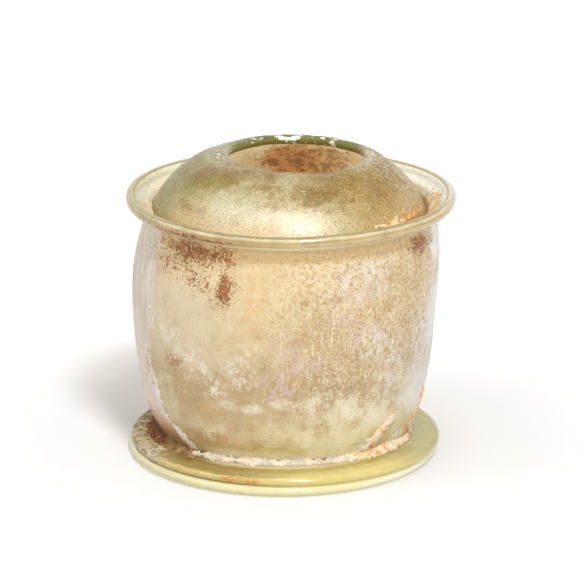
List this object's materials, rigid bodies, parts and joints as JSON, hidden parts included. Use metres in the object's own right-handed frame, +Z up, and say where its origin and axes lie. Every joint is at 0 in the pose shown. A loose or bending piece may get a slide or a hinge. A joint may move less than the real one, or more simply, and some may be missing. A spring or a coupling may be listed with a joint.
{
  "type": "pyxis",
  "caption": "Free-blown glass pyxis: a barrel-shaped vessel with a flared, rolled rim on a two-disc foot, closed by a loose domed lid with a round hole in its top.",
  "frame": {"origin": "on the axis of the mouth and the lid, at the level the foot stands on; the foot's own axis is 1.8 mm to the -X side, because the mouth leans", "axes": "+Z up, along the way the lid lifts off; +X the side that the mouth leans to"},
  "size_m": [0.08, 0.08, 0.0743],
  "materials": {
    "vessel_glass": "weathered, cream and tan with rust-brown specks over an earthy deposit inside",
    "lid_glass": "olive green, glossy, patched with brown, over an earthy deposit inside",
    "upper_foot_glass": "glossy yellow-green with a little crust",
    "lower_foot_glass": "glossy pale yellow"
  },
  "bodies": {
    "base": {"vessel": "vessel_glass", "foot_upper_disc": "upper_foot_glass", "foot_lower_disc": "lower_foot_glass"},
    "cover": {"lid": "lid_glass"}
  },
  "joints": [
    {"name": "lid_lift", "type": "slide", "parent": "base", "child": "cover", "axis": [0, 0, 1], "range_m": [0, 0.06]}
  ]
}
